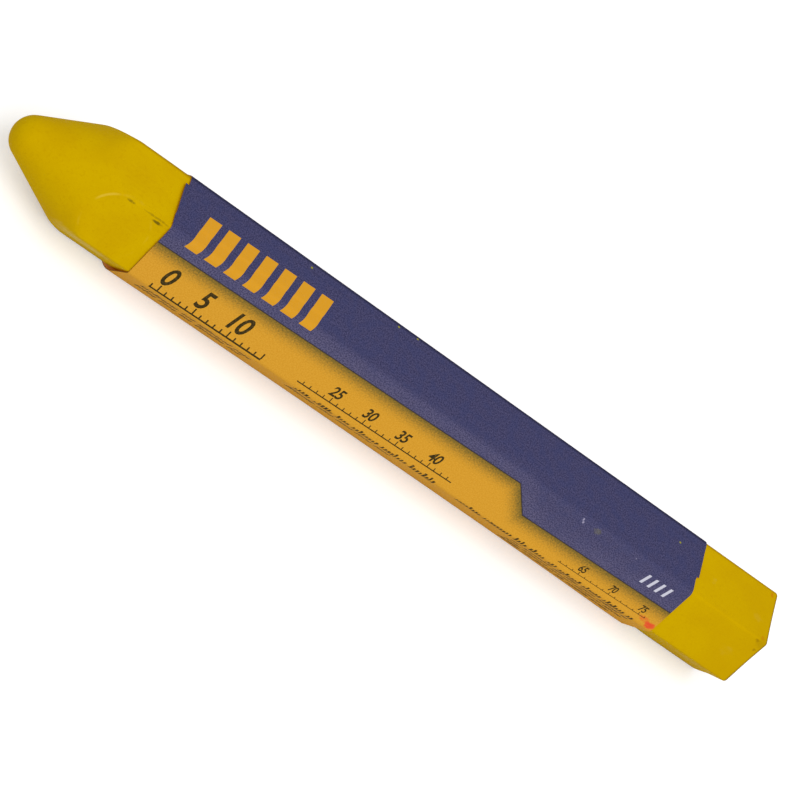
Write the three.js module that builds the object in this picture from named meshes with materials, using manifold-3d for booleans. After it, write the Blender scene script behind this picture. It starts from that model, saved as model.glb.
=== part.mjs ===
// A lumber crayon: a six-sided stick of hard marking wax, moulded to a blunt cone at one end, in a
// printed paper sleeve that is wrapped round it once and glued to itself along an overlap.
// Millimetres, +Z up. The crayon lies along X on one flat, with its marking tip towards -X.
// Seen from the tip, the ridges are lettered A to F clockwise from the top flat's +Y edge, so that
// the top flat lies between ridges A and B.

import * as THREE from "three";
import { mergeVertices } from "three/addons/utils/BufferGeometryUtils.js";
import Module from "manifold-3d";

// The wax stick
const stickLength = 114.3; // 4 1/2 inches, nose to butt
const acrossFlats = 12.7; // 1/2 inch between opposite flats
const ridgeRadius = 0.4; // rounding of the six long ridges
const buttBevel = 0.5; // broken edge round the square-cut butt
const noseRadius = 2.8; // ball at the end of the cone
const coneHalfAngle = THREE.MathUtils.degToRad(25.4);

// The paper sleeve
const paperThickness = 0.1;
const sleeveLength = 82.1;
const bareTip = 18.8; // wax left showing from the nose to the sleeve
const wrapSkew = 0.012; // the sheet creeps this far along the stick for each mm of girth
const snugGap = 0.05; // between paper and wax on the bottom flat and the far upper flat
const easyGap = 0.1; // on the other flats
const bagAtTip = 0.4; // how much further off the loose paper stands at ridge D: at the sleeve's mouth,
const bagAtWaist = 0.1; // half way along,
const bagAtButt = 0.55; // and at its butt end
const looseBendRadius = 1.0; // the paper's bend there, which no ridge creases

// The overlap on the top flat
const underEdgeToRidgeB = 2.2; // the sheet's inner edge stops this far short of ridge B
const flapEdgeToRidgeA = 1.4; // and its outer edge this far short of ridge A
const flapRise = 0.6; // length of the slope that lifts the flap over the inner edge
const flapRiseClearance = 0.1; // between that slope and the inner edge

// The adhesive in the overlap
const glueThickness = 0.03;
const glueSkin = 0.01; // gap between the film and each layer of paper
const glueToLapEdge = 0.2; // the film stays this far inside both edges of the overlap
const glueToSheetEnd = 2.0; // and this far inside the ends of the sheet

// Mesh fineness
const ridgeSteps = 3;
const coneSides = 72;
const noseSteps = 6;
const blankMargin = 1.5; // the round blank behind the cone is this much wider than the bar

const flats = 6;
const flatTurn = (2 * Math.PI) / flats;
const apothem = acrossFlats / 2;
const flatWidth = acrossFlats * Math.tan(Math.PI / flats);
const ridgeReach = apothem / Math.cos(Math.PI / flats);
const tipX = -stickLength / 2;
const sheetStart = tipX + bareTip;
const looseCorner = 2; // the bend at ridge D, counted from ridge B

const wasm = await Module();
wasm.setup();

// A closed three.js geometry as a solid that can be cut.
function toSolid(geometry) {
  const bare = geometry.clone();
  ["normal", "uv"].forEach((attribute) => bare.deleteAttribute(attribute));
  const merged = mergeVertices(bare);
  return new wasm.Manifold(
    new wasm.Mesh({
      numProp: 3,
      vertProperties: new Float32Array(merged.attributes.position.array),
      triVerts: new Uint32Array(merged.index.array),
    }),
  );
}

// A cut solid as a geometry again.
function toGeometry(solid) {
  const mesh = solid.getMesh();
  const geometry = new THREE.BufferGeometry();
  geometry.setAttribute("position", new THREE.BufferAttribute(mesh.vertProperties, 3));
  geometry.setIndex(new THREE.BufferAttribute(mesh.triVerts, 1));
  geometry.computeVertexNormals();
  return geometry;
}

// Where two straight sides meet, in the plane across the stick. A side is given by the direction in
// which it faces and by its reach, its distance from the axis.
function meet(angle, reach, nextAngle, nextReach) {
  const spread = Math.sin(nextAngle - angle);
  return {
    y: (reach * Math.sin(nextAngle) - nextReach * Math.sin(angle)) / spread,
    z: (nextReach * Math.cos(angle) - reach * Math.cos(nextAngle)) / spread,
  };
}

// The same corner rounded: points on its arc, each with its outward direction.
function bend(angle, reach, nextAngle, nextReach, radius) {
  const centre = meet(angle, reach - radius, nextAngle, nextReach - radius);
  return Array.from({ length: ridgeSteps + 1 }, (_, i) => {
    const turn = THREE.MathUtils.lerp(angle, nextAngle, i / ridgeSteps);
    const [outY, outZ] = [Math.cos(turn), Math.sin(turn)];
    return { y: centre.y + radius * outY, z: centre.z + radius * outZ, outY, outZ };
  });
}

// Direction in which a flat faces: the top flat is number 0, and they are counted towards ridge B.
function facing(flat) {
  return Math.PI / 2 + flat * flatTurn;
}

// The smallest turn from one direction to another.
function turnFrom(angle, other) {
  return THREE.MathUtils.euclideanModulo(other - angle + Math.PI, 2 * Math.PI) - Math.PI;
}

// A closed solid through rings of equally many points, the first and last of them flat and convex.
function loft(rings) {
  const count = rings[0].length;
  const triangles = [];
  for (let ring = 0; ring < rings.length - 1; ring += 1) {
    for (let i = 0; i < count; i += 1) {
      const a = ring * count + i;
      const b = ring * count + ((i + 1) % count);
      triangles.push(a, b, b + count, a, b + count, a + count);
    }
  }
  const lastRing = (rings.length - 1) * count;
  for (let i = 1; i < count - 1; i += 1) {
    triangles.push(0, i + 1, i, lastRing, lastRing + i, lastRing + i + 1);
  }
  const geometry = new THREE.BufferGeometry();
  geometry.setAttribute("position", new THREE.Float32BufferAttribute(rings.flat(2), 3));
  geometry.setIndex(triangles);
  return geometry;
}

// The six-sided bar with its ridges rounded and its butt edge broken.
function barGeometry() {
  const section = [];
  for (let flat = 0; flat < flats; flat += 1) {
    section.push(...bend(facing(flat), apothem, facing(flat + 1), apothem, ridgeRadius));
  }
  const ring = (x, inset) => {
    const share = 1 - inset / apothem;
    return section.map(({ y, z }) => [x, y * share, z * share]);
  };
  return loft([
    ring(tipX, 0),
    ring(tipX + stickLength - buttBevel, 0),
    ring(tipX + stickLength, buttBevel),
  ]);
}

// The round blank that the bar is cut down to: a ball nose, a cone, and a body wider than the bar.
function coneGeometry() {
  const blankRadius = blankMargin * ridgeReach;
  const profile = [];
  for (let i = 0; i <= noseSteps; i += 1) {
    const turn = ((Math.PI / 2 - coneHalfAngle) * i) / noseSteps;
    const radius = noseRadius * Math.sin(turn);
    profile.push(new THREE.Vector2(radius, tipX + noseRadius * (1 - Math.cos(turn))));
  }
  const ballEnd = profile[noseSteps];
  const coneRun = (blankRadius - ballEnd.x) / Math.tan(coneHalfAngle);
  profile.push(new THREE.Vector2(blankRadius, ballEnd.y + coneRun));
  profile.push(new THREE.Vector2(blankRadius, stickLength));
  profile.push(new THREE.Vector2(0, stickLength));
  return new THREE.LatheGeometry(profile, coneSides).rotateZ(-Math.PI / 2);
}

function stickGeometry() {
  return toGeometry(toSolid(barGeometry()).intersect(toSolid(coneGeometry())));
}

const flapLift = paperThickness + glueThickness + 2 * glueSkin;
const underEdge = flatWidth - underEdgeToRidgeB; // from ridge A

// The inner skin's corners before they are rounded, from ridge B on.
function sheetCorners(bag) {
  const gaps = [easyGap, easyGap, easyGap, snugGap, easyGap, snugGap];
  const corners = gaps.map((gap, flat) => {
    const nextGap = gaps[(flat + 1) % flats];
    return meet(facing(flat), apothem + gap, facing(flat + 1), apothem + nextGap);
  });
  corners[looseCorner].y -= bag;
  return corners;
}

// The inner skin across the stick: points in order from the flap's outer edge round to the sheet's
// first edge beneath it, each with its outward direction and its girth from ridge A.
function sheetPath(bag) {
  const corners = sheetCorners(bag);
  const sides = corners.map((corner, flat) => {
    const last = corners[(flat + flats - 1) % flats];
    const angle = facing(flat) + turnFrom(facing(flat), Math.atan2(last.y - corner.y, corner.z - last.z));
    return { angle, reach: corner.y * Math.cos(angle) + corner.z * Math.sin(angle) };
  });
  const onTop = (fromRidgeA, lift) => ({
    y: flatWidth / 2 - fromRidgeA,
    z: apothem + easyGap + lift,
    outY: 0,
    outZ: 1,
  });
  const riseStart = underEdge + flapRiseClearance;
  const path = [onTop(flapEdgeToRidgeA, flapLift), onTop(riseStart, flapLift)];
  path.push(onTop(riseStart + flapRise, 0));
  sides.forEach(({ angle, reach }, flat) => {
    const next = sides[(flat + 1) % flats];
    const nextAngle = angle + turnFrom(angle, next.angle);
    const radius = flat === looseCorner ? looseBendRadius : ridgeRadius + easyGap;
    path.push(...bend(angle, reach, nextAngle, next.reach, radius));
  });
  path.push(onTop(underEdge, 0));
  let girth = flapEdgeToRidgeA;
  path.forEach((point, i) => {
    if (i > 0) {
      girth += Math.hypot(point.y - path[i - 1].y, point.z - path[i - 1].z);
    }
    point.girth = girth;
  });
  return path;
}

// One sheet of paper wrapped once round the stick and over its own first edge.
function sleeveGeometry() {
  const stations = [
    { along: 0, bag: bagAtTip },
    { along: sleeveLength / 2, bag: bagAtWaist },
    { along: sleeveLength, bag: bagAtButt },
  ];
  const points = [];
  const rows = stations.map(({ along, bag }) =>
    [0, paperThickness].map((depth) =>
      sheetPath(bag).map(({ y, z, outY, outZ, girth }) => {
        points.push(sheetStart + along + wrapSkew * girth, y + depth * outY, z + depth * outZ);
        return points.length / 3 - 1;
      }),
    ),
  );
  const triangles = [];
  const quad = (a, b, c, d) => triangles.push(a, b, c, a, c, d);
  const last = rows[0][0].length - 1;
  rows.slice(1).forEach(([innerAft, outerAft], row) => {
    const [inner, outer] = rows[row];
    for (let i = 0; i < last; i += 1) {
      quad(outer[i], outer[i + 1], outerAft[i + 1], outerAft[i]);
      quad(inner[i], innerAft[i], innerAft[i + 1], inner[i + 1]);
    }
    quad(inner[0], outer[0], outerAft[0], innerAft[0]);
    quad(inner[last], innerAft[last], outerAft[last], outer[last]);
  });
  const [innerTip, outerTip] = rows[0];
  const [innerButt, outerButt] = rows[rows.length - 1];
  for (let i = 0; i < last; i += 1) {
    quad(innerTip[i], innerTip[i + 1], outerTip[i + 1], outerTip[i]);
    quad(innerButt[i], outerButt[i], outerButt[i + 1], innerButt[i + 1]);
  }
  const sheet = new THREE.BufferGeometry();
  sheet.setAttribute("position", new THREE.Float32BufferAttribute(points, 3));
  sheet.setIndex(triangles);
  sheet.computeVertexNormals();
  return sheet;
}

// The film of adhesive between the flap and the sheet's first edge.
function glueGeometry() {
  const [from, to] = [flapEdgeToRidgeA + glueToLapEdge, underEdge - glueToLapEdge];
  const film = new THREE.BoxGeometry(sleeveLength - 2 * glueToSheetEnd, to - from, glueThickness);
  const underside = apothem + easyGap + paperThickness + glueSkin;
  film.translate(
    sheetStart + sleeveLength / 2,
    flatWidth / 2 - (from + to) / 2,
    underside + glueThickness / 2,
  );
  return film;
}

function piece(name, geometry, color, roughness) {
  const material = new THREE.MeshStandardMaterial({ color, roughness, metalness: 0 });
  const mesh = new THREE.Mesh(geometry, material);
  mesh.name = name;
  return mesh;
}

// What stays together: the bare stick, and the sleeve that slides along it.
const waxStick = new THREE.Group();
waxStick.add(piece("crayon_stick", stickGeometry(), 0xc9a305, 0.5));

const looseSleeve = new THREE.Group();
looseSleeve.add(piece("paper_sleeve", sleeveGeometry(), 0x43446a, 0.6));
looseSleeve.add(piece("lap_glue", glueGeometry(), 0xd8cfae, 0.4));

// The origin lies on the surface under the crayon, at the middle of its length and width.
const crayon = new THREE.Group();
crayon.add(waxStick, looseSleeve);
const reach = new THREE.Box3().setFromObject(crayon, true);
crayon.position.set(0, -(reach.min.y + reach.max.y) / 2, -reach.min.z);

export default crayon;
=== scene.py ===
import math
import random
from bisect import bisect_right

import bpy
from mathutils import Matrix, Vector, geometry, noise


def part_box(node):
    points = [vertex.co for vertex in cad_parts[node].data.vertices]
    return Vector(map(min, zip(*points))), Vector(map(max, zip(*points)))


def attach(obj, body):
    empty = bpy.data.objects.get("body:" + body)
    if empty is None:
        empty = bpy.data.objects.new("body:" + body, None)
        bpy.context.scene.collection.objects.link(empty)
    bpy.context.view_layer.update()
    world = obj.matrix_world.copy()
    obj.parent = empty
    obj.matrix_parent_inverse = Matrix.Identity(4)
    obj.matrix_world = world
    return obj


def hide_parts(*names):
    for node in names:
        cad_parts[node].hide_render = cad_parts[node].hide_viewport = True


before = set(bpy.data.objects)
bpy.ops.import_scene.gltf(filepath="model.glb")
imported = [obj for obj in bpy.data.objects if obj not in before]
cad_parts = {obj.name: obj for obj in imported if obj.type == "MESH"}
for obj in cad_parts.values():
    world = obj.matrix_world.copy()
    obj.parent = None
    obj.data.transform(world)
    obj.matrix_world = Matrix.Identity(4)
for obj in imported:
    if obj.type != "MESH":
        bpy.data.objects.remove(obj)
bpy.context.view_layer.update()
print("frame loaded")

# Everything is in millimetres until a mesh is made. The stick's axis runs along X.
mm = 0.001
stickLow, stickHigh = (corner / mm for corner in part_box("crayon_stick"))
axisY = (stickLow.y + stickHigh.y) / 2
axisZ = (stickLow.z + stickHigh.z) / 2
tipX, stickLength = stickLow.x, stickHigh.x - stickLow.x

# Turns about the axis start at +Y. Ridges A to F stand at one to six sixths of a turn.
wholeTurn = 2 * math.pi
sixth = wholeTurn / 6
upward = wholeTurn / 4


def colour(red, green, blue):
    # a colour as the screen shows it, made linear
    channels = [c / 255 for c in (red, green, blue)]
    return (*[c / 12.92 if c < 0.04045 else ((c + 0.055) / 1.055) ** 2.4 for c in channels], 1)


def put(tree, kind, inputs=None, **settings):
    node = tree.nodes.new(kind)
    for name, value in settings.items():
        setattr(node, name, value)
    for name, value in (inputs or {}).items():
        if isinstance(value, bpy.types.NodeSocket):
            tree.links.new(value, node.inputs[name])
        else:
            node.inputs[name].default_value = value
    return node


def maths(tree, operation, first, second=0.0):
    return put(tree, "ShaderNodeMath", {0: first, 1: second}, operation=operation).outputs[0]


def times(tree, first, second):
    return maths(tree, "MULTIPLY", first, second)


def offBy(tree, value, middle):
    return maths(tree, "ABSOLUTE", maths(tree, "SUBTRACT", value, middle))


def ramp(tree, value, fromLow, fromHigh, toLow=0.0, toHigh=1.0):
    ends = {"Value": value, "From Min": fromLow, "From Max": fromHigh, "To Min": toLow, "To Max": toHigh}
    return put(tree, "ShaderNodeMapRange", ends, interpolation_type="SMOOTHSTEP").outputs[0]


def mixed(tree, share, under, over):
    return put(tree, "ShaderNodeMix", {0: share, 6: under, 7: over}, data_type="RGBA").outputs[2]


def moved(tree, operation, place, by):
    return put(tree, "ShaderNodeVectorMath", {0: place, 1: by}, operation=operation).outputs[0]


def scaled(tree, place, scale):
    return moved(tree, "MULTIPLY", place, scale)


def lengthOf(tree, offset):
    return put(tree, "ShaderNodeVectorMath", {0: offset}, operation="LENGTH").outputs["Value"]


def grain(tree, place, scale, detail, output="Fac"):
    noiseNode = put(tree, "ShaderNodeTexNoise", {"Vector": place, "Scale": scale, "Detail": detail})
    return noiseNode.outputs[output]


def strayed(tree, place, scale, reach, detail=3.0):
    # the same place, pushed about by noise, so that a spot in it gets a ragged outline
    middle = (0.5, 0.5, 0.5)
    push = moved(tree, "SUBTRACT", grain(tree, place, scale, detail, "Color"), middle)
    return moved(tree, "ADD", place, scaled(tree, push, [2 * reach] * 3))


def anyOf(tree, shares):
    total = shares[0]
    for share in shares[1:]:
        total = maths(tree, "MAXIMUM", total, share)
    return total


def spot(tree, place, centre, size, strength=1.0, fullWithin=0.4):
    # full strength in the middle of an oval spot, 0 outside it
    offset = moved(tree, "SUBTRACT", place, centre)
    away = lengthOf(tree, scaled(tree, offset, [1 / length for length in size]))
    return ramp(tree, away, 1.0, fullWithin, toHigh=strength)


def newMaterial(name, roughness, gloss=0.3):
    material = bpy.data.materials.new(name)
    material.use_nodes = True
    tree = material.node_tree
    tree.nodes.clear()
    shader = put(tree, "ShaderNodeBsdfPrincipled", {"Roughness": roughness, "Specular IOR Level": gloss})
    put(tree, "ShaderNodeOutputMaterial", {"Surface": shader.outputs[0]})
    return material, tree, shader


def addBump(tree, shader, height, depth):
    bump = put(tree, "ShaderNodeBump", {"Height": height, "Strength": 1.0, "Distance": depth * mm})
    tree.links.new(bump.outputs[0], shader.inputs["Normal"])


def newPiece(name, points, faces, materials, slots=None, sharpFrom=50):
    mesh = bpy.data.meshes.new(name)
    mesh.from_pydata([Vector(point) * mm for point in points], [], faces)
    for material in materials:
        mesh.materials.append(material)
    if slots:
        mesh.polygons.foreach_set("material_index", slots)
    mesh.polygons.foreach_set("use_smooth", [True] * len(mesh.polygons))
    mesh.set_sharp_from_angle(angle=math.radians(sharpFrom))
    piece = bpy.data.objects.new(name, mesh)
    bpy.context.scene.collection.objects.link(piece)
    return piece


def evenly(start, end, count):
    return [start + (end - start) * i / count for i in range(count + 1)]


def smooth(share):
    share = min(max(share, 0), 1)
    return share * share * (3 - 2 * share)


def between(table, place):
    # straight lines through the (place, value) pairs of a table
    i = min(max(bisect_right([row[0] for row in table], place), 1), len(table) - 1)
    (low, first), (high, second) = table[i - 1], table[i]
    share = min(max((place - low) / (high - low), 0), 1)
    return first + (second - first) * share


def lumpsAt(*place):
    return noise.noise(Vector(place))


wax = {
    "acrossFlats": 12.7,
    "ridgeRound": 0.42,
    "noseRound": 2.8,
    "noseLean": 0.05,  # the cone stands this far off centre, towards noseLeanTurn
    "noseLeanTurn": math.radians(44),
    "leanFadeIn": 2.0,  # how far behind the tip it is all there
    "coneHalfAngle": math.radians(25.4),
    "shoulderSoft": 0.45,  # how softly the cone runs out into the flats
    "flatsSink": 0.03,  # moulded wax shrinks a little in the middle of each flat
    "swell": 0.12,  # ridge D swells towards the butt
    "swellFrom": 100.0,
    "swellTo": 107.0,
    "buttRound": 0.5,
    "buttDish": 0.15,
    "uneven": 0.02,
    "unevenFadeIn": 4.0,
    "lumpsAlong": 0.22,  # how close together the lumps are
    "lumpsRound": 2.2,
    # the mesh: rings from nose to butt, closer together over the shoulder
    "noseRings": 12,
    "ringSpacing": ((8.4, 0.5), (14.0, 0.22)),  # up to where, how far apart
    "bodySpacing": 0.8,
    "buttRings": 6,
    "buttFaceRings": (0.985, 0.95, 0.88, 0.76, 0.6, 0.4, 0.2),  # as shares of the butt's size
    "ridgeTurns": range(-30, 31, 6),  # degrees each side of a ridge
    "flatColumns": 18,
    # finish
    "roughness": 0.7,
    "gloss": 0.02,
    "yellows": (colour(199, 160, 0), colour(204, 167, 0)),
    "glossTint": colour(255, 226, 120),
    "speckTone": colour(190, 148, 0),
    "rubbedTone": colour(210, 174, 8),
    "buttTone": colour(190, 150, 0),
    "bloomAndSheenTone": colour(216, 196, 116),
    "ringHighlightTone": colour(228, 194, 70),
    "smearTone": colour(104, 86, 16),
    "grimeAndShadeTone": colour(136, 100, 8),
    "rimShadeTone": colour(104, 74, 8),
    "crumbTone": colour(194, 108, 10),
    # grain: scale and detail of the noise
    "cloud": (0.22, 3.0),
    "speck": (2.6, 4.0),
    "rubbed": (1.0, 4.0),
    "rubbedStretch": (0.35, 2.6, 2.6),
    "ringGrain": (0.5, 2.0),
    "smearGrain": (3.0, 3.0),
    "pits": (1.1, 5.0),
    "rubbedHeight": 0.6,  # against the pits
    "bumpDepth": 0.05,
    # ramps: from, to, then the shares there where they aren't 0 and 1
    "cloudRamp": (0.3, 0.7),
    "speckRamp": (0.52, 0.72, 0.0, 0.35),
    "rubbedRamp": (0.6, 0.8, 0.0, 0.3),
    "bloomAndSheenRamp": (0.35, 0.6, 0.15, 0.6),
    "ringRamp": (0.2, 0.05),
    "ringFaintRamp": (0.45, 0.65, 0.0, 0.25),
    "smearRamp": (0.3, 0.5, 0.35, 1.0),
    "roughnessRamp": (0.3, 0.7, 0.6, 0.75),
    "buttRamp": (38.0, 58.0, 0.0, 0.5),  # these three go by x
    # these two paint shade round the butt's edge
    "shadedRimRamp": (56.5, 57.1),
    "rimShadeRamp": (56.65, 57.0, 0.0, 0.6),
    # how far marks stray: scale of the noise, millimetres
    "blurred": (1.6, 0.7),
    "drawnOut": (1.5, 0.12),
    "ragged": (3.0, 0.3),
    # marks: x, flat, place across it, size, strength
    # part wax bloom, part painted sheen
    "bloomAndSheen": (
        (-43.8, 2, -1.0, (4.8, 2.4, 2.6), 1.0),
        (53.2, 2, -1.0, (4.2, 1.5, 2.0), 0.25),
        (46.8, 0, 0.2, (0.5, 0.5, 0.5), 0.18),
        (54.7, 0, 1.1, (0.9, 0.6, 0.6), 0.07),
        (53.6, 1, 0.0, (1.2, 0.9, 0.9), 0.06),
    ),
    "smears": (
        (-43.75, 1, -3.5, (0.75, 0.24, 0.24), 0.65),
        (-39.8, 1, -3.15, (0.85, 0.22, 0.22), 0.9),
        (-40.2, 1, -3.6, (2.7, 0.2, 0.2), 0.45),
    ),
    # painted shade along ridges A and D
    "shadedRidges": (
        (0, 0, -3.6, (90, 0.42, 0.42), 1.0),
        (0, 2, 3.7, (90, 0.8, 0.8), 0.8),
    ),
    # real grime in specks near the butt
    "grimeAndShade": (
        (55.6, 1, -3.4, (0.45, 0.35, 0.35), 1.0),
        (56.3, 1, -2.1, (0.3, 0.25, 0.25), 1.0),
        (56.3, 1, -3.3, (0.9, 0.9, 0.9), 0.4),
    ),
    "crumbs": (
        (56.1, 0, -3.0, (0.34, 0.5, 0.34), 0.55),
        (56.1, 0, 3.2, (0.35, 0.4, 0.35), 0.35),
    ),
    # a painted highlight round the shoulder on flat BC
    "ringCentre": (-43.2, 1, 0.05),
    "ringRadius": 4.0,
    "ringHighlightSpot": (-46.1, 1, -2.4, (1.7, 1.7, 1.7), 1.0),
    "ringHighlightStrength": 0.4,
    "grimeAndShadeStrength": 0.55,
}
apothem = wax["acrossFlats"] / 2
ridgeCentre = (apothem - wax["ridgeRound"]) / math.cos(sixth / 2)
ridgePolars = []
for degrees in wax["ridgeTurns"]:
    ridgeOut = wax["ridgeRound"] * math.cos(math.radians(degrees))
    ridgeAcross = wax["ridgeRound"] * math.sin(math.radians(degrees))
    ridgePolars.append(math.atan2(ridgeAcross, ridgeCentre + ridgeOut))


def onFlat(x, flat, across):
    # a point on one of the six flats: 0 is the top one, 1 the near upper one, 2 the near lower one
    facing = upward + flat * sixth
    y = axisY + apothem * math.cos(facing) - across * math.sin(facing)
    z = axisZ + apothem * math.sin(facing) + across * math.cos(facing)
    return Vector((x, y, z))


def hexReach(polar):
    turn = (polar + sixth / 2) % sixth - sixth / 2  # from the nearest ridge
    if abs(turn) < ridgePolars[-1]:
        sideways = ridgeCentre * math.sin(turn)
        return ridgeCentre * math.cos(turn) + math.sqrt(wax["ridgeRound"] ** 2 - sideways ** 2)
    fromMiddle = sixth / 2 - abs(turn)
    sink = wax["flatsSink"] * math.cos(3 * fromMiddle) ** 2  # none left at the ridges
    return apothem / math.cos(fromMiddle) - sink


def coneReach(along):
    ball, half = wax["noseRound"], wax["coneHalfAngle"]
    ballEnd = ball * (1 - math.sin(half))
    if along < ballEnd:
        return math.sqrt(ball ** 2 - (ball - along) ** 2)
    return ball * math.cos(half) + (along - ballEnd) * math.tan(half)


def stickReach(along, polar):
    flat, cone, soft = hexReach(polar), coneReach(along), wax["shoulderSoft"]
    cone += wax["noseLean"] * min(along / wax["leanFadeIn"], 1) * math.cos(polar - wax["noseLeanTurn"])
    meeting = max(soft - abs(flat - cone), 0) / soft
    reach = min(flat, cone) - meeting ** 2 * soft / 4

    ridgeD = 4 * sixth
    nearRidgeD = smooth(1 - abs(polar - ridgeD) / (sixth / 2))
    growth = smooth((along - wax["swellFrom"]) / (wax["swellTo"] - wax["swellFrom"]))
    reach += wax["swell"] * growth * nearRidgeD

    bumpiness = wax["lumpsRound"]
    lumps = lumpsAt(along * wax["lumpsAlong"], bumpiness * math.cos(polar), bumpiness * math.sin(polar))
    reach -= wax["uneven"] * (0.5 + 0.5 * lumps) * min(along / wax["unevenFadeIn"], 1)

    fromEnd, buttRound = stickLength - along, wax["buttRound"]
    if fromEnd < buttRound:
        reach -= buttRound - math.sqrt(buttRound ** 2 - (buttRound - fromEnd) ** 2)
    return reach


def stickPolars():
    edge = math.tan(sixth / 2 - ridgePolars[-1])
    across = [math.atan(edge * share) for share in evenly(-1, 1, wax["flatColumns"])[1:-1]]
    polars = []
    for ridge in range(1, 7):
        polars += [ridge * sixth + turn for turn in ridgePolars]
        polars += [(ridge + 0.5) * sixth + turn for turn in across]
    return polars


def stickPlaces():
    ball, buttRound = wax["noseRound"], wax["buttRound"]
    ballTurns = evenly(0, upward - wax["coneHalfAngle"], wax["noseRings"])[1:]
    places = [ball * (1 - math.cos(turn)) for turn in ballTurns]
    for end, spacing in (*wax["ringSpacing"], (stickLength - buttRound, wax["bodySpacing"])):
        count = math.ceil((end - places[-1]) / spacing)
        places += evenly(places[-1], end, count)[1:]
    buttTurns = evenly(0, upward, wax["buttRings"])[1:]
    return places + [stickLength - buttRound * (1 - math.sin(turn)) for turn in buttTurns]


def waxSpots(tree, place, rows):
    return anyOf(tree, [spot(tree, place, onFlat(*row[:3]), *row[3:]) for row in rows])


def waxMaterial():
    material, tree, shader = newMaterial("markingWax", wax["roughness"], wax["gloss"])
    shader.inputs["Specular Tint"].default_value = wax["glossTint"]
    place = scaled(tree, put(tree, "ShaderNodeTexCoord").outputs["Object"], [1 / mm] * 3)
    alongStick = put(tree, "ShaderNodeSeparateXYZ", {0: place}).outputs["X"]
    cloud = grain(tree, place, *wax["cloud"])
    speck = grain(tree, place, *wax["speck"])
    rubbed = grain(tree, scaled(tree, place, wax["rubbedStretch"]), *wax["rubbed"])
    face = mixed(tree, ramp(tree, cloud, *wax["cloudRamp"]), *wax["yellows"])
    face = mixed(tree, ramp(tree, speck, *wax["speckRamp"]), face, wax["speckTone"])
    face = mixed(tree, ramp(tree, rubbed, *wax["rubbedRamp"]), face, wax["rubbedTone"])
    face = mixed(tree, ramp(tree, alongStick, *wax["buttRamp"]), face, wax["buttTone"])

    # pale patches on the lower near flat, by the sleeve and at the butt, and faint on the others: part wax
    # bloom, part painted sheen
    blurred = strayed(tree, place, *wax["blurred"])
    patchy = ramp(tree, rubbed, *wax["bloomAndSheenRamp"])
    bloomAndSheen = times(tree, waxSpots(tree, blurred, wax["bloomAndSheen"]), patchy)
    face = mixed(tree, bloomAndSheen, face, wax["bloomAndSheenTone"])

    # a painted highlight: a pale ring on flat BC by the shoulder, bright on one side
    radius = lengthOf(tree, moved(tree, "SUBTRACT", place, onFlat(*wax["ringCentre"])))
    ring = ramp(tree, offBy(tree, radius, wax["ringRadius"]), *wax["ringRamp"])
    bright = waxSpots(tree, place, [wax["ringHighlightSpot"]])
    faint = ramp(tree, grain(tree, place, *wax["ringGrain"]), *wax["ringFaintRamp"])
    ring = times(tree, ring, maths(tree, "MAXIMUM", bright, faint))
    face = mixed(tree, times(tree, ring, wax["ringHighlightStrength"]), face, wax["ringHighlightTone"])

    # smears drawn out along ridge B
    drawnOut = strayed(tree, place, *wax["drawnOut"])
    broken = ramp(tree, grain(tree, place, *wax["smearGrain"]), *wax["smearRamp"])
    smears = times(tree, waxSpots(tree, drawnOut, wax["smears"]), broken)
    face = mixed(tree, smears, face, wax["smearTone"])

    # painted shade along ridges A and D and round the butt's edge, and real grime in specks near it
    ragged = strayed(tree, place, *wax["ragged"])
    grimeAndShade = anyOf(tree, [
        waxSpots(tree, place, wax["shadedRidges"]),
        ramp(tree, alongStick, *wax["shadedRimRamp"]),
        waxSpots(tree, ragged, wax["grimeAndShade"]),
    ])
    face = mixed(tree, times(tree, grimeAndShade, wax["grimeAndShadeStrength"]), face, wax["grimeAndShadeTone"])
    # painted shade, darker still, right at the butt's edge
    face = mixed(tree, ramp(tree, alongStick, *wax["rimShadeRamp"]), face, wax["rimShadeTone"])
    face = mixed(tree, waxSpots(tree, ragged, wax["crumbs"]), face, wax["crumbTone"])
    tree.links.new(face, shader.inputs["Base Color"])

    pits = grain(tree, place, *wax["pits"])
    height = maths(tree, "ADD", pits, times(tree, rubbed, wax["rubbedHeight"]))
    addBump(tree, shader, height, wax["bumpDepth"])
    tree.links.new(ramp(tree, cloud, *wax["roughnessRamp"]), shader.inputs["Roughness"])
    return material


def waxStick():
    polars, places = stickPolars(), stickPlaces()
    count = len(polars)
    rings = [[(place, stickReach(place, polar)) for polar in polars] for place in places]
    rim = [reach for _, reach in rings[-1]]
    for share in wax["buttFaceRings"]:
        sunk = stickLength - wax["buttDish"] * (1 - smooth(share))
        rings.append([(sunk, share * reach) for reach in rim])
    points = [(tipX, axisY, axisZ)]
    for ring in rings:
        for polar, (along, reach) in zip(polars, ring):
            points.append((tipX + along, axisY + reach * math.cos(polar), axisZ + reach * math.sin(polar)))
    points.append((tipX + stickLength - wax["buttDish"], axisY, axisZ))

    faces = []
    last = 1 + (len(rings) - 1) * count
    for i in range(count):
        after = (i + 1) % count
        faces.append((0, 1 + after, 1 + i))
        for near in range(1, last, count):
            far = near + count
            faces.append((near + i, near + after, far + after, far + i))
        faces.append((len(points) - 1, last + i, last + after))
    stick = newPiece("waxStick", points, faces, [waxMaterial()])
    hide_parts("crayon_stick")
    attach(stick, "stick")
    print("wax stick:", len(faces), "faces")


waxStick()

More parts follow.
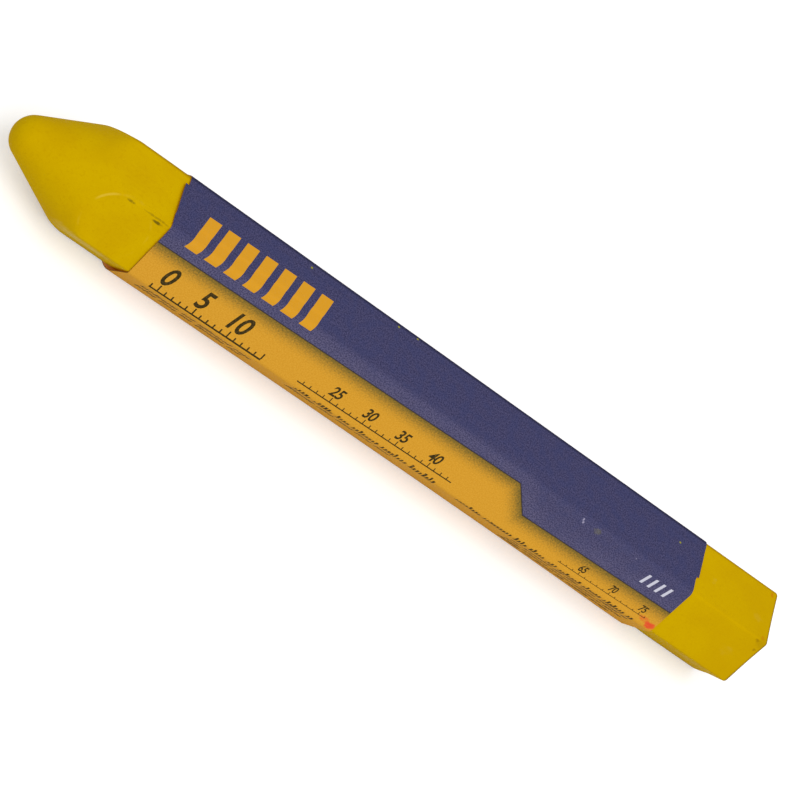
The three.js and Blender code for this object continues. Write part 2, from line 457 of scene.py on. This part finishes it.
# The sheet is laid out flat by two lengths: along it from its tip end, and round it from ridge A.
paper = {
    "thickness": 0.1,
    "length": 82.1,
    "behindNose": 18.8,
    "gaps": (0.1, 0.1, 0.1, 0.05, 0.1, 0.05),  # over the wax, from the top flat on
    "bends": (1.0, 0.6, 1.0, 0.5, 0.55, 0.7),  # inside radius over ridges B, C, D, E, F and A
    "sag": (  # how far ridge D of the loose paper hangs off, along the sheet
        (0, 0.42), (4, 0.39), (9, 0.32), (18, 0.26), (28, 0.17), (48, 0.19),
        (60, 0.25), (70, 0.34), (77, 0.48), (80.3, 0.56), (82.1, 0.5),
    ),
    "sagSoftening": 3.0,  # the sag is an average over this far each way
    "sagSteps": 4,
    "ear": (  # how far the tip end of the sheet sticks out towards the nose, round it
        (16, 0), (19.0, -0.2), (21.8, -0.35), (22.7, 0.0),
        (23.7, 0.7), (24.8, 0.9), (26.8, 0.5), (30, 0),
    ),
    "earRoot": 5.0,
    "flapEdge": 1.5,  # the edge of the outer layer
    "underEdge": 5.25,  # the edge of the layer under it, one girth on
    "flapLift": 0.14,  # the outer layer lies this much higher
    "flapRise": (5.35, 5.85),  # and comes down from here to here
    "creep": (  # the sheet is wound a little askew: its shift along the stick, round it
        (1.5, -0.1), (5.5, 0.0), (7.8, 0.12), (15, 0.15), (22, 0.2), (45, 0.42), (51, 0.46),
    ),
    "uneven": 0.015,
    "lumpsAlong": 0.16,
    "lumpsRound": 0.5,
    "lumpsLayer": 0.3,
    "raggedEnds": 0.03,
    "raggedRound": 0.9,
    "raggedLayer": 4.0,
    # the mesh: sections across the sheet, then rows and columns that tile it
    "sectionSpacing": 1.5,
    "riseSteps": 6,
    "bendSteps": 12,
    "endRows": (0, 0.35, 0.8),
    "firstRow": 1.5,
    "rowCount": 66,
    "lapColumns": (2.4, 3.2, 4.0, 4.8),
    "bendColumns": 14,
    "bendMargin": 0.02,
    "looseBend": 1.15,  # half the width of the bend at ridge D, which opens and closes with the sag
    "flatColumns": 7,
    "flatMargin": 1.3,
    "lastMargin": 0.6,
    "mergeWithin": 5e-4,
    "endWithin": 0.01,
    "flatScale": 100,  # millimetres of sheet for each unit of its UV map
    # the unprinted inside
    "backTones": (colour(206, 154, 102), colour(216, 170, 118)),
    "backRoughness": 0.8,
    "backGloss": 0.2,
    "backFibre": (1.0, 4.0),
    "backStretch": (2000, 6000, 6000),
    "backBump": 0.02,
    "soak": 0.25,  # light soaks into the thin paper
    "soakColours": (1.0, 0.6, 0.3),
    "soakDepth": 0.6,
    "paintedGlowTone": colour(226, 128, 52),  # and a painted glow, emitted by the inside, stands in for the light that comes through it
    "glow": 0.17,
}
paperReach = apothem + paper["gaps"][0] + paper["thickness"]
roundWidth = 2 * paperReach * math.tan(sixth / 2)  # of one flat, measured on the outside
sheetRound = 6 * roundWidth + paper["underEdge"]
flapPlaces = evenly(*paper["flapRise"], paper["riseSteps"])


def meet(facing, reach, nextFacing, nextReach):
    # where two straight sides cross, each given by the way it faces and its distance from the axis
    spread = math.sin(nextFacing - facing)
    y = (reach * math.sin(nextFacing) - nextReach * math.sin(facing)) / spread
    z = (nextReach * math.cos(facing) - reach * math.cos(nextFacing)) / spread
    return Vector((y, z))


def sagAt(along):
    steps = evenly(-paper["sagSoftening"], paper["sagSoftening"], paper["sagSteps"])
    return sum(between(paper["sag"], along + step) for step in steps) / len(steps)


def sheetSides(along):
    # the six sides of the inner skin: the way each faces and its distance from the axis
    facings = [upward + flat * sixth for flat in range(6)]
    reaches = [apothem + gap for gap in paper["gaps"]]
    corners = []
    for i in range(6):
        corners.append(meet(facings[i], reaches[i], facings[i] + sixth, reaches[(i + 1) % 6]))
    corners[2].x -= sagAt(along)  # ridge D
    sides = []
    for i in range(6):
        run = corners[i] - corners[i - 1]
        facing = math.atan2(-run.x, run.y)
        facing += wholeTurn * round((facings[i] - facing) / wholeTurn)
        sides.append((facing, corners[i].x * math.cos(facing) + corners[i].y * math.sin(facing)))
    return sides


def sheetSection(along):
    # the inner skin across the stick: rows of (round, point, outward direction)
    sides = sheetSides(along)
    level = apothem + paper["gaps"][0]
    riseFrom, riseTo = paper["flapRise"]
    rows = []
    for place in [paper["flapEdge"]] + flapPlaces:
        lift = paper["flapLift"] * (1 - smooth((place - riseFrom) / (riseTo - riseFrom)))
        rows.append((place, Vector((roundWidth / 2 - place, level + lift)), upward))
    for i, radius in enumerate(paper["bends"]):
        (facing, reach), (nextFacing, nextReach) = sides[i], sides[(i + 1) % 6]
        nextFacing += wholeTurn if nextFacing < facing else 0
        centre = meet(facing, reach - radius, nextFacing, nextReach - radius)
        middle = (i + 1) * roundWidth
        cut = (radius + paper["thickness"]) * math.tan((nextFacing - facing) / 2)
        turns = evenly(facing, nextFacing, paper["bendSteps"])
        bendPlaces = evenly(middle - cut, middle + cut, paper["bendSteps"])
        for turn, place in zip(turns, bendPlaces):
            rows.append((place, centre + radius * Vector((math.cos(turn), math.sin(turn))), turn))
    end = Vector((roundWidth / 2 - paper["underEdge"], level))
    rows.append((sheetRound, end, upward + wholeTurn))
    return rows


sectionCount = math.ceil(paper["length"] / paper["sectionSpacing"])
sections = [sheetSection(along) for along in evenly(0, paper["length"], sectionCount)]
sectionRounds = [[row[0] for row in section] for section in sections]


def skinAt(section, place):
    rounds = sectionRounds[section]
    i = min(max(bisect_right(rounds, place), 1), len(rounds) - 1)
    share = min(max((place - rounds[i - 1]) / (rounds[i] - rounds[i - 1]), 0), 1)
    (_, point, turn), (_, nextPoint, nextTurn) = sections[section][i - 1], sections[section][i]
    return point.lerp(nextPoint, share), turn + (nextTurn - turn) * share


def sheetPoint(along, place, depth):
    station = along / paper["length"] * sectionCount
    section = min(int(station), sectionCount - 1)
    share = station - section
    (point, turn), (nextPoint, nextTurn) = skinAt(section, place), skinAt(section + 1, place)
    turn += (nextTurn - turn) * share
    lumps = lumpsAt(along * paper["lumpsAlong"], place * paper["lumpsRound"], paper["lumpsLayer"])
    out = depth - paper["uneven"] * (0.5 + 0.5 * lumps)
    point = point.lerp(nextPoint, share) + out * Vector((math.cos(turn), math.sin(turn)))
    x = tipX + paper["behindNose"] + along + between(paper["creep"], place)
    x -= between(paper["ear"], place) * smooth(1 - along / paper["earRoot"])
    if min(along, paper["length"] - along) < paper["endWithin"]:
        x += paper["raggedEnds"] * lumpsAt(place * paper["raggedRound"], along, paper["raggedLayer"])
    return (x, axisY + point.x, axisZ + point.y)


# The print on the sheet: blue and orange fields in the material, and shapes of one ink each.
printed = {
    "lean": -0.018,  # the print runs a little askew to the ridges
    "outlineSpacing": 0.3,  # between the points of a large shape's outline
    "stripes": {
        "from": 3.4, "pitch": 2.76, "width": 1.75, "count": 7,
        "top": 3.45, "bottom": 8.55, "slant": 0.3, "ink": "orange",
    },
    "bars": {
        "from": 75.8, "pitch": 1.2, "width": 0.42, "count": 4,
        "top": 8.9, "bottom": 10.4, "slant": 0.25, "ink": "white",
    },
    "scaleZero": 4.0,
    "figureEvery": 5,
    "scales": (
        {
            "from": 2.85, "to": 19.05, "level": 15.08, "rule": 0.24, "tick": 0.19,
            "short": 0.45, "long": 0.8, "figure": 3.5, "gap": 0.22,
        },
        {
            "from": 24.2, "to": 47.8, "level": 14.28, "rule": 0.15, "tick": 0.13,
            "short": 0.36, "long": 0.6, "figure": 2.0, "gap": 0.16,
        },
        {
            "from": 65.7, "to": 80.1, "level": 14.3, "rule": 0.08, "tick": 0.1,
            "short": 0.2, "long": 0.34, "figure": 1.35, "gap": 0.1,
        },
    ),
    "figureShear": 0.22,
    "figureBold": 0.024,
    "figureSpacing": 0.95,
    "figureWidth": 0.86,
    "figureResolution": 4,
    "figureMargin": 0.8,  # no figure stands nearer to the end of its rule
    "figureSliver": 1e-5,  # a face of a figure below this area is left out
    "hatches": (  # from, to, level, height, pitch
        (24.7, 47.4, 14.95, 1.0, 0.5), (50.0, 64.4, 14.9, 1.0, 0.5), (64.9, 79.7, 14.95, 1.0, 0.5),
        (2.9, 19.2, 16.3, 1.3, 0.6), (2.9, 19.2, 18.1, 1.4, 0.6), (24.7, 41.0, 16.6, 1.5, 0.6),
        (60.2, 79.7, 16.4, 1.2, 0.5), (60.2, 79.7, 18.1, 1.2, 0.5), (60.2, 78.9, 19.8, 1.2, 0.5),
    ),
    "hatchSeed": 7,
    "hatchBunch": (3, 9),  # strokes in each
    "hatchGap": 1.9,  # pitches from one bunch to the next
    "hatchTops": (0, 0.2, 0.25, 0.3),  # how much shorter a stroke is
    "hatchWidth": (0.5, 0.75),
    "hatchSlant": 0.2,
    "hiddenRules": ((6.0, 76.0, 33.2, 0.5), (6.0, 76.0, 34.6, 0.2)),  # from, to, level, thickness
    "hiddenSpacing": 1.2,  # between the points of their outlines
    "fieldEdge": ((0, 9.9), (54.4, 8.77), (57.7, 12.0), (82.1, 11.5)),  # blue on the side of ridge A
    "backEdge": 38.9,  # blue again from here round
    "nearFlat": 10.2,  # the middle of the haze on flat BC
    # where the painted shade along ridge A lies
    "ridgeAShade": 45.45,
    # finish
    "roughness": 0.75,
    "gloss": 0.04,
    "blues": (colour(49, 49, 81), colour(79, 77, 112)),
    "blueMottle": colour(70, 67, 100),
    "bluePatch": colour(56, 62, 104),
    "hazes": (colour(76, 72, 100), colour(114, 108, 136)),
    "ridgeShadeTone": colour(30, 31, 56),
    "oranges": (colour(207, 148, 41), colour(215, 158, 50)),
    "shadeTone": colour(66, 75, 42),
    "hairline": colour(40, 36, 44),
    "redTone": colour(224, 84, 46),
    "crumbTone": colour(150, 146, 40),
    "scratchTone": colour(176, 170, 196),
    "bareTone": colour(206, 160, 80),
    "inks": {  # name of the material, colour, how far the bare paper shows through
        "black": ("blackInk", colour(56, 46, 22), 0.12),
        "orange": ("orangeInk", colour(214, 152, 36), 0.2),
        "white": ("whiteInk", colour(200, 200, 214), 0.05),
        "cut": ("cutEdge", colour(150, 104, 44), 0.3),
        "fine": ("fineBlackInk", colour(64, 50, 24), 0.4),
    },
    # grain: scale and detail of the noise
    "speckle": (6.0, 1.0),
    "cloud": (0.25, 2.0),
    "mottle": (2.4, 3.0),
    "patches": (0.7, 4.0),
    "shadeGrain": (5.0, 2.0),
    "shadeScatter": 2.2,  # how far it spreads the shade
    "dragged": (1.6, 3.0),
    "draggedStretch": (0.6, 2.2, 1),
    "fibre": (5.0, 4.0),
    "cloudHeight": 0.8,  # against the fibre
    "bumpDepth": 0.014,
    "inkWear": (3.2, 4.0),
    "inkGrain": (5.0, 3.0),
    "inkBump": 0.012,
    "stray": (1.5, 0.5),  # scale of the noise, millimetres
    # ramps: from, to, then the shares there where they aren't 0 and 1
    "speckleRamp": (0.35, 0.65),
    "mottleRamp": (0.4, 0.7, 0.0, 0.4),
    "patchRamp": (0.4, 0.65, 0.0, 0.35),
    "hazeRamp": (0.3, 0.7, 0.16, 0.34),
    "draggedRamp": (0.25, 0.45),
    "inkWearRamp": (0.45, 0.75),
    "hazyEdgeRamp": (-3.0, -0.4),  # from here on they go by distance
    "hazyFlatRamp": (3.4, 2.2, 0.0, 0.19),
    "ridgeRamp": (0.5, 0.1, 0.0, 0.7),
    "shadeRamp": (2.7, -0.4),
    "shadePower": 1.5,
    "shadeStrength": 0.85,
    "fieldRamp": (-0.03, 0.03),
    "hairlineRamp": (0.12, 0.03, 0.0, 0.75),
    # marks: centre, size, strength
    "redSmear": (
        ((81.3, 14.4, 0), (1.2, 0.6, 1), 1.0),
        ((80.2, 14.05, 0), (1.3, 0.4, 1), 0.55),
    ),
    "crumbs": tuple(
        ((*centre, 0), (0.22, 0.17, 1), 1.0)
        for centre in ((18.0, 46.2), (31.3, 45.9), (34.2, 45.75), (78.5, 2.6))
    ),
    "stain": ((66.5, 8.1, 0), (0.7, 0.6, 1), 0.18),
    "scratches": (
        ((63.95, 7.9, 0), (0.16, 0.3, 1), 0.65),
        ((64.15, 8.25, 0), (0.2, 0.24, 1), 0.65),
        ((73.0, 8.2, 0), (0.1, 0.1, 1), 0.65),
    ),
}


def slantedBar(along, width, top, bottom, slant=0):
    foot = slant * (bottom - top) / 2
    lower = [(along - foot, bottom), (along + width - foot, bottom)]
    return lower + [(along + width + foot, top), (along + foot, top)]


def leaning(shape, start):
    return [(along, place + printed["lean"] * (along - start)) for along, place in shape]


def fineEdged(shape, spacing=printed["outlineSpacing"]):
    points = []
    for (along, place), (nextAlong, nextPlace) in zip(shape, shape[1:] + shape[:1]):
        count = max(1, round(math.hypot(nextAlong - along, nextPlace - place) / spacing))
        points += zip(evenly(along, nextAlong, count)[:-1], evenly(place, nextPlace, count)[:-1])
    return points


def figureShapes(text, size, middle, foot):
    curve = bpy.data.curves.new("figure", "FONT")
    curve.body = text
    curve.size = size
    curve.shear = printed["figureShear"]
    curve.offset = size * printed["figureBold"]
    curve.space_character = printed["figureSpacing"]
    curve.align_x = "CENTER"
    curve.resolution_u = printed["figureResolution"]
    holder = bpy.data.objects.new("figure", curve)
    bpy.context.scene.collection.objects.link(holder)
    bpy.context.view_layer.update()
    filled = bpy.data.meshes.new_from_object(holder.evaluated_get(bpy.context.evaluated_depsgraph_get()))
    shapes = []
    for face in filled.polygons:
        if face.area > printed["figureSliver"]:
            corners = [filled.vertices[i].co for i in face.vertices]
            width = printed["figureWidth"]
            shapes.append([(middle + corner.x * width, foot - corner.y) for corner in corners])
    bpy.data.objects.remove(holder)
    bpy.data.curves.remove(curve)
    bpy.data.meshes.remove(filled)
    return shapes


def barShapes(row):
    shapes = []
    for i in range(row["count"]):
        along = row["from"] + i * row["pitch"]
        bar = slantedBar(along, row["width"], row["top"], row["bottom"], row["slant"])
        shapes.append((fineEdged(leaning(bar, row["from"])), row["ink"]))
    return shapes


def scaleShapes(scale):
    start, end, zero = scale["from"], scale["to"], printed["scaleZero"]
    line = scale["level"] - scale["rule"]
    ruled = [fineEdged(slantedBar(start, end - start, line, scale["level"]))]
    for division in range(math.ceil(start - zero), math.floor(end - zero) + 1):
        left = zero + division - scale["tick"] / 2
        isLong = division % printed["figureEvery"] == 0
        top = line - (scale["long"] if isLong else scale["short"])
        ruled.append(slantedBar(left, scale["tick"], top, line))
        if isLong and min(left - start, end - left) > printed["figureMargin"]:
            ruled += figureShapes(str(division), scale["figure"], left, top - scale["gap"])
    return [(leaning(shape, start), "black") for shape in ruled]


def hatchShapes(dice, start, end, level, height, pitch):
    # short strokes in bunches, in a finer ink on flat BC
    ink = "fine" if level < 2 * roundWidth else "black"
    shapes = []
    along, left = start, 0
    while along < end - pitch:
        if left == 0:
            left = dice.randint(*printed["hatchBunch"])
        top = level + height * dice.choice(printed["hatchTops"])
        width = pitch * dice.uniform(*printed["hatchWidth"])
        stroke = slantedBar(along, width, top, level + height, printed["hatchSlant"])
        shapes.append((leaning(stroke, start), ink))
        left -= 1
        along += pitch if left else printed["hatchGap"] * pitch
    return shapes


def printShapes():
    shapes = barShapes(printed["stripes"]) + barShapes(printed["bars"])
    for scale in printed["scales"]:
        shapes += scaleShapes(scale)
    dice = random.Random(printed["hatchSeed"])
    for row in printed["hatches"]:
        shapes += hatchShapes(dice, *row)
    for start, end, level, thickness in printed["hiddenRules"]:
        rule = slantedBar(start, end - start, level, level + thickness)
        shapes.append((fineEdged(rule, printed["hiddenSpacing"]), "black"))
    return shapes


def sheetRows():
    first, length = paper["firstRow"], paper["length"]
    inner = evenly(first, length - first, paper["rowCount"])
    return [*paper["endRows"], *inner, *(length - end for end in reversed(paper["endRows"]))]


def sheetColumns():
    columns = [*paper["lapColumns"], *flapPlaces]
    for i, radius in enumerate(paper["bends"]):
        cut = (radius + paper["thickness"]) * math.tan(sixth / 2) + paper["bendMargin"]
        if i == 2:  # ridge D
            cut = paper["looseBend"]
        middle = (i + 1) * roundWidth
        columns += evenly(middle - cut, middle + cut, paper["bendColumns"])
        flatEnd = middle + roundWidth - paper["flatMargin"] if i < 5 else sheetRound - paper["lastMargin"]
        columns += evenly(middle + cut, flatEnd, paper["flatColumns"])[1:-1]
    return sorted(columns)


def tileSheet(rows, columns, shapes):
    # triangles over the whole sheet, cut along the columns and round every printed shape
    rim = [(row, paper["flapEdge"]) for row in rows] + [(rows[-1], column) for column in columns]
    rim += [(row, sheetRound) for row in reversed(rows)]
    rim += [(rows[0], column) for column in reversed(columns)]
    points, lines = list(rim), [(i, (i + 1) % len(rim)) for i in range(len(rim))]
    for column in columns:
        first = len(points)
        points += [(row, column) for row in rows[1:-1]]
        lines += [(i, i + 1) for i in range(first, len(points) - 1)]
    outlines = []
    for shape, _ in shapes:
        area = sum(a[0] * b[1] - b[0] * a[1] for a, b in zip(shape, shape[1:] + shape[:1]))
        outlines.append(list(range(len(points), len(points) + len(shape))))
        points += shape if area > 0 else shape[::-1]
    points = [Vector(point) for point in points]
    tiled = geometry.delaunay_2d_cdt(points, lines, outlines, 0, paper["mergeWithin"], True)
    places, _, triangles, origins, _, covers = tiled
    found = {origin: i for i, group in enumerate(origins) for origin in group if origin < len(rim)}
    return places, triangles, [found[i] for i in range(len(rim))], covers


def sheetPlace(tree):
    unrolled = put(tree, "ShaderNodeUVMap", uv_map="sheet").outputs[0]
    return scaled(tree, unrolled, (paper["flatScale"], paper["flatScale"], 1))


def inkMaterial(name, tone, share):
    material, tree, shader = newMaterial(name, printed["roughness"], printed["gloss"])
    place = sheetPlace(tree)
    worn = ramp(tree, grain(tree, place, *printed["inkWear"]), *printed["inkWearRamp"], toHigh=share)
    tree.links.new(mixed(tree, worn, tone, printed["bareTone"]), shader.inputs["Base Color"])
    addBump(tree, shader, grain(tree, place, *printed["inkGrain"]), printed["inkBump"])
    return material


def orangeSide(tree, along, across):
    # how far inside the orange field a place is, less than 0 in the blue

    def beyond(start, end):
        run = Vector(end) - Vector(start)
        run.normalize()
        rise = times(tree, maths(tree, "SUBTRACT", across, start[1]), run.x)
        return maths(tree, "SUBTRACT", rise, times(tree, maths(tree, "SUBTRACT", along, start[0]), run.y))

    first, stepTop, stepFoot, last = printed["fieldEdge"]
    step = maths(tree, "MAXIMUM", beyond(stepTop, stepFoot), beyond(stepFoot, last))
    front = maths(tree, "MINIMUM", beyond(first, stepTop), step)
    return maths(tree, "MINIMUM", front, maths(tree, "SUBTRACT", printed["backEdge"], across))


def fieldMaterial():
    material, tree, shader = newMaterial("printedPaper", printed["roughness"], printed["gloss"])
    place = sheetPlace(tree)
    split = put(tree, "ShaderNodeSeparateXYZ", {0: place})
    along, across = split.outputs["X"], split.outputs["Y"]
    orange = orangeSide(tree, along, across)
    speckle = ramp(tree, grain(tree, place, *printed["speckle"]), *printed["speckleRamp"])
    cloud = grain(tree, place, *printed["cloud"])

    mottle = ramp(tree, grain(tree, place, *printed["mottle"]), *printed["mottleRamp"])
    patches = ramp(tree, grain(tree, place, *printed["patches"]), *printed["patchRamp"])
    blue = mixed(tree, speckle, *printed["blues"])
    blue = mixed(tree, mottle, blue, printed["blueMottle"])
    blue = mixed(tree, patches, blue, printed["bluePatch"])

    # a pale haze by the edge of the field and over flat BC, and a painted shade line along ridge A
    unevenly = ramp(tree, cloud, *printed["hazeRamp"])
    nearEdge = times(tree, ramp(tree, orange, *printed["hazyEdgeRamp"]), unevenly)
    nearFlat = ramp(tree, offBy(tree, across, printed["nearFlat"]), *printed["hazyFlatRamp"])
    haze = mixed(tree, speckle, *printed["hazes"])
    blue = mixed(tree, maths(tree, "ADD", nearEdge, nearFlat), blue, haze)
    ridgeAShade = ramp(tree, offBy(tree, across, printed["ridgeAShade"]), *printed["ridgeRamp"])
    blue = mixed(tree, ridgeAShade, blue, printed["ridgeShadeTone"])

    # orange, with a grainy shade along its edge
    warm = mixed(tree, speckle, *printed["oranges"])
    scatter = maths(tree, "SUBTRACT", grain(tree, place, *printed["shadeGrain"]), 0.5)
    scatter = times(tree, scatter, printed["shadeScatter"])
    shade = ramp(tree, maths(tree, "SUBTRACT", orange, scatter), *printed["shadeRamp"])
    shade = times(tree, maths(tree, "POWER", shade, printed["shadePower"]), printed["shadeStrength"])
    warm = mixed(tree, shade, warm, printed["shadeTone"])
    face = mixed(tree, ramp(tree, orange, *printed["fieldRamp"]), blue, warm)
    hairline = ramp(tree, offBy(tree, orange, 0.0), *printed["hairlineRamp"])
    face = mixed(tree, hairline, face, printed["hairline"])

    # a red smear at the butt end, wax crumbs, a stain and scratches
    stray = strayed(tree, place, *printed["stray"])
    dragged = grain(tree, scaled(tree, place, printed["draggedStretch"]), *printed["dragged"])
    smear = anyOf(tree, [spot(tree, stray, *row) for row in printed["redSmear"]])
    smear = times(tree, smear, ramp(tree, dragged, *printed["draggedRamp"]))
    face = mixed(tree, smear, face, printed["redTone"])
    crumbs = [spot(tree, place, *row) for row in printed["crumbs"]]
    crumbs.append(spot(tree, stray, *printed["stain"]))
    face = mixed(tree, anyOf(tree, crumbs), face, printed["crumbTone"])
    scratches = [spot(tree, place, *row) for row in printed["scratches"]]
    face = mixed(tree, anyOf(tree, scratches), face, printed["scratchTone"])
    tree.links.new(face, shader.inputs["Base Color"])

    fibre = grain(tree, place, *printed["fibre"])
    height = maths(tree, "ADD", fibre, times(tree, cloud, printed["cloudHeight"]))
    addBump(tree, shader, height, printed["bumpDepth"])
    return material


def backMaterial():
    material, tree, shader = newMaterial("paperBack", paper["backRoughness"], paper["backGloss"])
    place = put(tree, "ShaderNodeTexCoord").outputs["Object"]
    fibre = grain(tree, scaled(tree, place, paper["backStretch"]), *paper["backFibre"])
    tree.links.new(mixed(tree, fibre, *paper["backTones"]), shader.inputs["Base Color"])
    shader.inputs["Subsurface Weight"].default_value = paper["soak"]
    shader.inputs["Subsurface Radius"].default_value = paper["soakColours"]
    shader.inputs["Subsurface Scale"].default_value = paper["soakDepth"] * mm
    # a painted glow: the inside emits a little light, standing in for light through the paper
    shader.inputs["Emission Color"].default_value = paper["paintedGlowTone"]
    shader.inputs["Emission Strength"].default_value = paper["glow"]
    addBump(tree, shader, fibre, paper["backBump"])
    return material


def paperSleeve():
    materials = {"field": fieldMaterial(), "back": backMaterial()}
    for ink, look in printed["inks"].items():
        materials[ink] = inkMaterial(*look)
    slotOf = {name: i for i, name in enumerate(materials)}

    rows, columns, shapes = sheetRows(), sheetColumns(), printShapes()
    places, triangles, rim, covers = tileSheet(rows, columns, shapes)
    points = [sheetPoint(place.x, place.y, paper["thickness"]) for place in places]
    faces = [tuple(reversed(triangle)) for triangle in triangles]
    slots = [slotOf[shapes[cover[0]][1] if cover else "field"] for cover in covers]

    innerPlaces, innerTriangles, innerRim, _ = tileSheet(rows, columns, [])
    first = len(points)
    points += [sheetPoint(place.x, place.y, 0) for place in innerPlaces]
    faces += [tuple(first + i for i in triangle) for triangle in innerTriangles]
    for i in range(len(rim)):
        after = (i + 1) % len(rim)
        faces.append((rim[i], rim[after], first + innerRim[after], first + innerRim[i]))
    slots += [slotOf["back"]] * len(innerTriangles) + [slotOf["cut"]] * len(rim)

    sleeve = newPiece("paperSleeve", points, faces, list(materials.values()), slots)
    flat = [tuple(place / paper["flatScale"]) for place in places + innerPlaces]
    layer = sleeve.data.uv_layers.new(name="sheet")
    for loop in sleeve.data.loops:
        layer.data[loop.index].uv = flat[loop.vertex_index]
    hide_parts("paper_sleeve")
    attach(sleeve, "sleeve")
    print("paper sleeve:", len(faces), "faces,", len(shapes), "printed shapes")


paperSleeve()

glue = {
    "tones": (colour(206, 194, 158), colour(226, 218, 190)),
    "streaks": (1.0, 3.0),
    "stretch": (300, 1500, 1500),  # streaks run along the stick
    "roughness": 0.3,
    "bumpDepth": 0.01,
}


def lapGlue():
    material, tree, shader = newMaterial("driedGlue", glue["roughness"])
    place = put(tree, "ShaderNodeTexCoord").outputs["Object"]
    streaks = grain(tree, scaled(tree, place, glue["stretch"]), *glue["streaks"])
    tree.links.new(mixed(tree, streaks, *glue["tones"]), shader.inputs["Base Color"])
    addBump(tree, shader, streaks, glue["bumpDepth"])
    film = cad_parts["lap_glue"]
    film.data.materials.clear()
    film.data.materials.append(material)
    print("glue film")


lapGlue()

studio = {
    "cameraPlace": (-178.445, -213.254, 295.793),
    "azimuth": -39.846,
    "elevation": 46.191,
    "roll": 65.991,
    "lens": 157.38,
    "sensorWidth": 36,
    "clip": (0.01, 20),
    "floorSize": 6000,
    "floorTone": colour(232, 232, 232),
    "floorRoughness": 0.9,
    "floorGloss": 0.2,
    "floorGlow": 0.36,
    "softboxPlace": (30, -305, 685),
    "softboxSize": 620,
    "softboxPower": 3.2,
    "worldLight": 0.6,
}


def floorMaterial():
    material, tree, shader = newMaterial("floor", studio["floorRoughness"], studio["floorGloss"])
    shader.inputs["Base Color"].default_value = studio["floorTone"]
    rays = put(tree, "ShaderNodeLightPath").outputs
    seen = anyOf(tree, [rays["Is Camera Ray"], rays["Is Glossy Ray"], rays["Is Transmission Ray"]])
    glow = put(tree, "ShaderNodeEmission", {"Strength": times(tree, seen, studio["floorGlow"])})
    both = put(tree, "ShaderNodeAddShader", {0: shader.outputs[0], 1: glow.outputs[0]})
    output = next(node for node in tree.nodes if node.type == "OUTPUT_MATERIAL")
    tree.links.new(both.outputs[0], output.inputs["Surface"])
    return material


def layFloor():
    half = studio["floorSize"] / 2
    corners = [(-half, -half, 0), (half, -half, 0), (half, half, 0), (-half, half, 0)]
    floor = newPiece("floor", corners, [(0, 1, 2, 3)], [floorMaterial()])
    print("floor")


def setLight():
    lamp = bpy.data.lights.new("softbox", "AREA")
    lamp.shape = "SQUARE"
    lamp.size = studio["softboxSize"] * mm
    lamp.energy = studio["softboxPower"]
    softbox = bpy.data.objects.new("softbox", lamp)
    softbox.location = Vector(studio["softboxPlace"]) * mm
    softbox.rotation_euler = softbox.location.to_track_quat("Z", "Y").to_euler()
    bpy.context.scene.collection.objects.link(softbox)

    world = bpy.data.worlds.new("studioLight")
    world.use_nodes = True
    background = world.node_tree.nodes["Background"]
    background.inputs["Color"].default_value = (1, 1, 1, 1)
    background.inputs["Strength"].default_value = studio["worldLight"]
    bpy.context.scene.world = world
    print("light")


def setCamera():
    turn, rise, roll = (math.radians(studio[name]) for name in ("azimuth", "elevation", "roll"))
    back = Vector((math.sin(turn) * math.cos(rise), -math.cos(turn) * math.cos(rise), math.sin(rise)))
    level = Vector((math.cos(turn), math.sin(turn), 0))
    right = math.cos(roll) * level + math.sin(roll) * back.cross(level)
    up = back.cross(right)
    view = bpy.data.cameras.new("photoView")
    view.lens = studio["lens"]
    view.sensor_width = studio["sensorWidth"]
    view.clip_start, view.clip_end = studio["clip"]
    camera = bpy.data.objects.new("photoView", view)
    standing = Matrix.Translation(Vector(studio["cameraPlace"]) * mm)
    camera.matrix_world = standing @ Matrix((right, up, back)).transposed().to_4x4()
    bpy.context.scene.collection.objects.link(camera)
    bpy.context.scene.camera = camera
    bpy.context.scene.view_settings.view_transform = "Standard"
    print("camera")


layFloor()
setLight()
setCamera()
